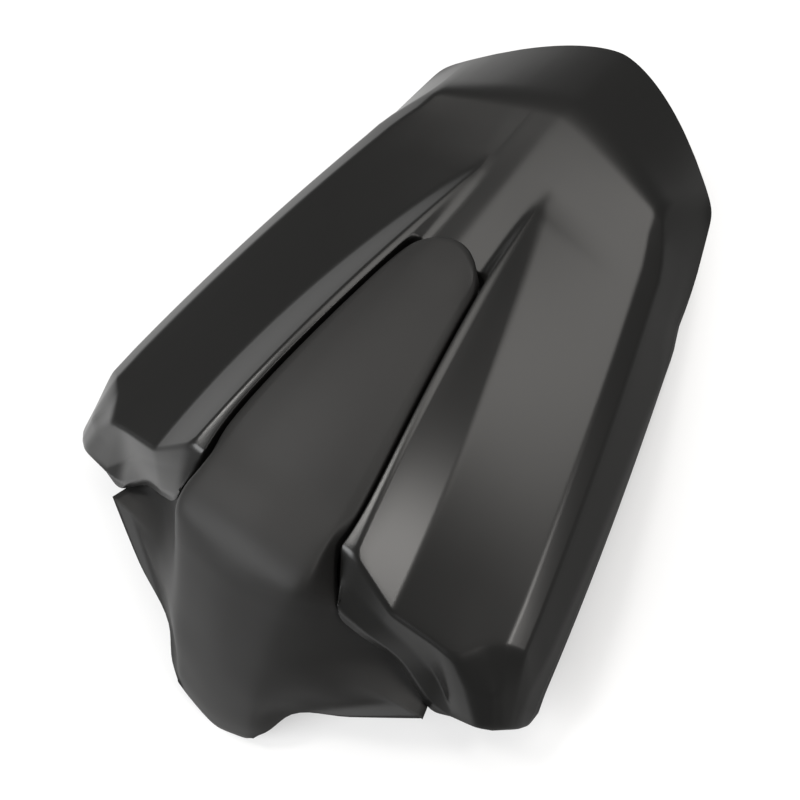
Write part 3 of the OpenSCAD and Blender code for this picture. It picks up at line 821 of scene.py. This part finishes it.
# The wall thins out at the tongue's edge and at the tip, whose last rows are thinnest
fromTip = len(panelOuter) - 4 - fromFront
frontRows, endRows, thinnest = 12, 14, 0.25
thinning = np.clip(np.minimum(fromFront / frontRows, fromTip / endRows), thinnest, 1)
panelInner = lining(panelOuter, panel["wall"] * thinning[:, None, None], first=True)
panelBm = makeShell(panelOuter, panelInner)
for u in panelScrews:
    p = panelTop(u)[1]
    addBoss(panelBm, p[0], p[1], padTops[u], p[2] - 0.5)
wing, tongue = sidePoint(5, 0.4), midLine[3]
addBoss(panelBm, wing[0], wing[1], pan["top"], wing[2] - 0.8)
addBoss(panelBm, 0, tongue[1], pan["top"], tongue[2] - 1.2)
finishMesh("centrePanelShell", panelBm, grainMat, "grained_plastic", "centre_panel")
print("stage: centre panel")

# The pieces below keep their drawn shape
dampers = [f"{end}_damper_left" for end in ("front", "rear")]
dampers += [f"{end}_damper_right" for end in ("front", "rear")]
fixings = ["striker_bolts", "striker_nuts", "hook_bolts", "hook_nuts"]
fixings += ["panel_screws", "panel_washers", "pan_screws", "pan_washers"]
steelPieces = ["striker_loop", "striker_plate", "hook_plate"] + fixings
below = ((panMat, ["base_pan"]), (rubberMat, dampers), (steelMat, steelPieces))
for material, names in below:
    for name in names:
        materials = nodes[name].data.materials
        materials.clear()
        materials.append(material)
print("stage: parts below")


# A math node on two values, each a socket or a number
def mathNode(tree, kind, first, second):
    n = tree.nodes.new("ShaderNodeMath")
    n.operation = kind
    for socket, value in zip(n.inputs, (first, second)):
        if isinstance(value, (int, float)):
            socket.default_value = value
        else:
            tree.links.new(value, socket)
    return n.outputs[0]


def rampNode(tree, value, start, end, low, high):
    n = tree.nodes.new("ShaderNodeMapRange")
    for socket, v in zip(n.inputs[1:5], (start, end, low, high)):
        socket.default_value = v
    tree.links.new(value, n.inputs["Value"])
    return n.outputs[0]


# Two switches: 1 for the camera's rays, and 1 for rays sent on by mirrors or glass
def raySwitches(tree):
    path = tree.nodes.new("ShaderNodeLightPath").outputs
    mirrors = mathNode(tree, "MAXIMUM", path["Is Glossy Ray"], path["Is Transmission Ray"])
    return path["Is Camera Ray"], mirrors


# The floor: white around the object for the camera, bright on the left and dark on
# the right in mirrors
bm = bmesh.new()
bmesh.ops.create_grid(bm, x_segments=1, y_segments=1, size=floorLook["size"] / 2)
floorMesh = bpy.data.meshes.new("floor")
bm.to_mesh(floorMesh)
bm.free()
floor = bpy.data.objects.new("floor", floorMesh)
bpy.context.scene.collection.objects.link(floor)
floorMat, floorShader = principled("floorPaint", floorLook)
floorTree = floorMat.node_tree
toCamera, toMirrors = raySwitches(floorTree)
spot = floorTree.nodes.new("ShaderNodeTexCoord").outputs["Object"]
apart = floorTree.nodes.new("ShaderNodeSeparateXYZ")
floorTree.links.new(spot, apart.inputs[0])
sideways = apart.outputs["X"]
away = floorTree.nodes.new("ShaderNodeVectorMath")
away.operation = "LENGTH"
floorTree.links.new(spot, away.inputs[0])
whiteness = rampNode(
    floorTree,
    away.outputs["Value"],
    floorLook["farFrom"],
    floorLook["farTo"],
    floorLook["glow"],
    floorLook["farGlow"],
)
mirrorGlow = rampNode(
    floorTree,
    sideways,
    -floorLook["mirrorReach"],
    floorLook["mirrorReach"],
    floorLook["mirrorLeft"],
    floorLook["mirrorRight"],
)
mirrorShade = rampNode(
    floorTree,
    sideways,
    floorLook["shadeFrom"],
    floorLook["mirrorReach"],
    0.0,
    floorLook["mirrorShade"],
)
shaded = mathNode(floorTree, "MULTIPLY", toMirrors, mirrorShade)
lit = mathNode(floorTree, "SUBTRACT", 1.0, shaded)
paint = mathNode(floorTree, "MULTIPLY", lit, floorLook["colour"][0])
floorTree.links.new(paint, floorShader.inputs["Base Color"])
seenGlow = mathNode(floorTree, "MULTIPLY", toCamera, whiteness)
mirroredGlow = mathNode(floorTree, "MULTIPLY", toMirrors, mirrorGlow)
floorGlow = mathNode(floorTree, "ADD", seenGlow, mirroredGlow)
floorTree.links.new(floorGlow, floorShader.inputs["Emission Color"])
floorShader.inputs["Emission Strength"].default_value = 1.0
floorMesh.materials.append(floorMat)

# The sky: white for the camera, dim as a light, dark in mirrors
scene = bpy.context.scene
world = bpy.data.worlds.new("surround")
scene.world = world
world.use_nodes = True
skyTree = world.node_tree
sky = skyTree.nodes["Background"]
sky.inputs["Color"].default_value = (1, 1, 1, 1)
toCamera, toMirrors = raySwitches(skyTree)
seenSky = mathNode(skyTree, "MULTIPLY", toCamera, 1 - skyLook["level"])
mirroredSky = mathNode(skyTree, "MULTIPLY", toMirrors, skyLook["inMirrors"])
extraSky = mathNode(skyTree, "ADD", seenSky, mirroredSky)
skyLevel = mathNode(skyTree, "ADD", extraSky, skyLook["level"])
skyTree.links.new(skyLevel, sky.inputs["Strength"])
scene.view_settings.view_transform = "Standard"

lamps = {
    "rearTop": {
        "towards": (0.05, 0.57, 0.82),
        "distance": 1.5,
        "size": (1.9, 0.75),
        "power": 15,
        "colour": (1.0, 0.975, 0.94),
    },
    "topLeft": {
        "towards": (-0.46, 0.08, 0.88),
        "distance": 1.2,
        "size": (0.28, 0.22),
        "power": 4.4,
        "colour": (1.0, 0.985, 0.96),
    },
    "right": {
        "towards": (0.85, 0.12, 0.5),
        "distance": 1.4,
        "size": (0.46, 0.3),
        "power": 5.5,
        "colour": (1.0, 0.975, 0.945),
    },
    "fill": {
        "towards": (-0.35, -0.6, 0.72),
        "distance": 1.4,
        "size": (1.0, 0.75),
        "power": 16,
        "colour": (0.98, 0.99, 1.0),
    },
}
target = Vector((0, 0, 0.03))
for name, spec in lamps.items():
    data = bpy.data.lights.new(name, "AREA")
    data.shape = "RECTANGLE"
    data.size, data.size_y = spec["size"]
    data.energy = spec["power"]
    data.color = spec["colour"]
    lamp = bpy.data.objects.new(name, data)
    scene.collection.objects.link(lamp)
    way = Vector(spec["towards"]).normalized()
    lamp.location = target + way * spec["distance"]
    lamp.rotation_euler = way.to_track_quat("Z", "Y").to_euler()

cameraSpec = {
    "place": (0.2489, 0.0248, 0.6690),
    "right": (0.7912, 0.5198, -0.3222),
    "up": (-0.4996, 0.8532, 0.1496),
    "back": (0.3527, 0.0426, 0.9348),
    "sensor": 36,
    "lens": 72.19,
    "shift": (-0.0055, 0.0),
    "clipStart": 0.01,
}
cam = bpy.data.objects.new("camera", bpy.data.cameras.new("camera"))
scene.collection.objects.link(cam)
turn = Matrix([cameraSpec["right"], cameraSpec["up"], cameraSpec["back"]]).transposed()
cam.matrix_world = Matrix.Translation(cameraSpec["place"]) @ turn.to_4x4()
cam.data.sensor_width = cameraSpec["sensor"]
cam.data.lens = cameraSpec["lens"]
cam.data.shift_x, cam.data.shift_y = cameraSpec["shift"]
cam.data.clip_start = cameraSpec["clipStart"]
scene.camera = cam
print("stage: camera")
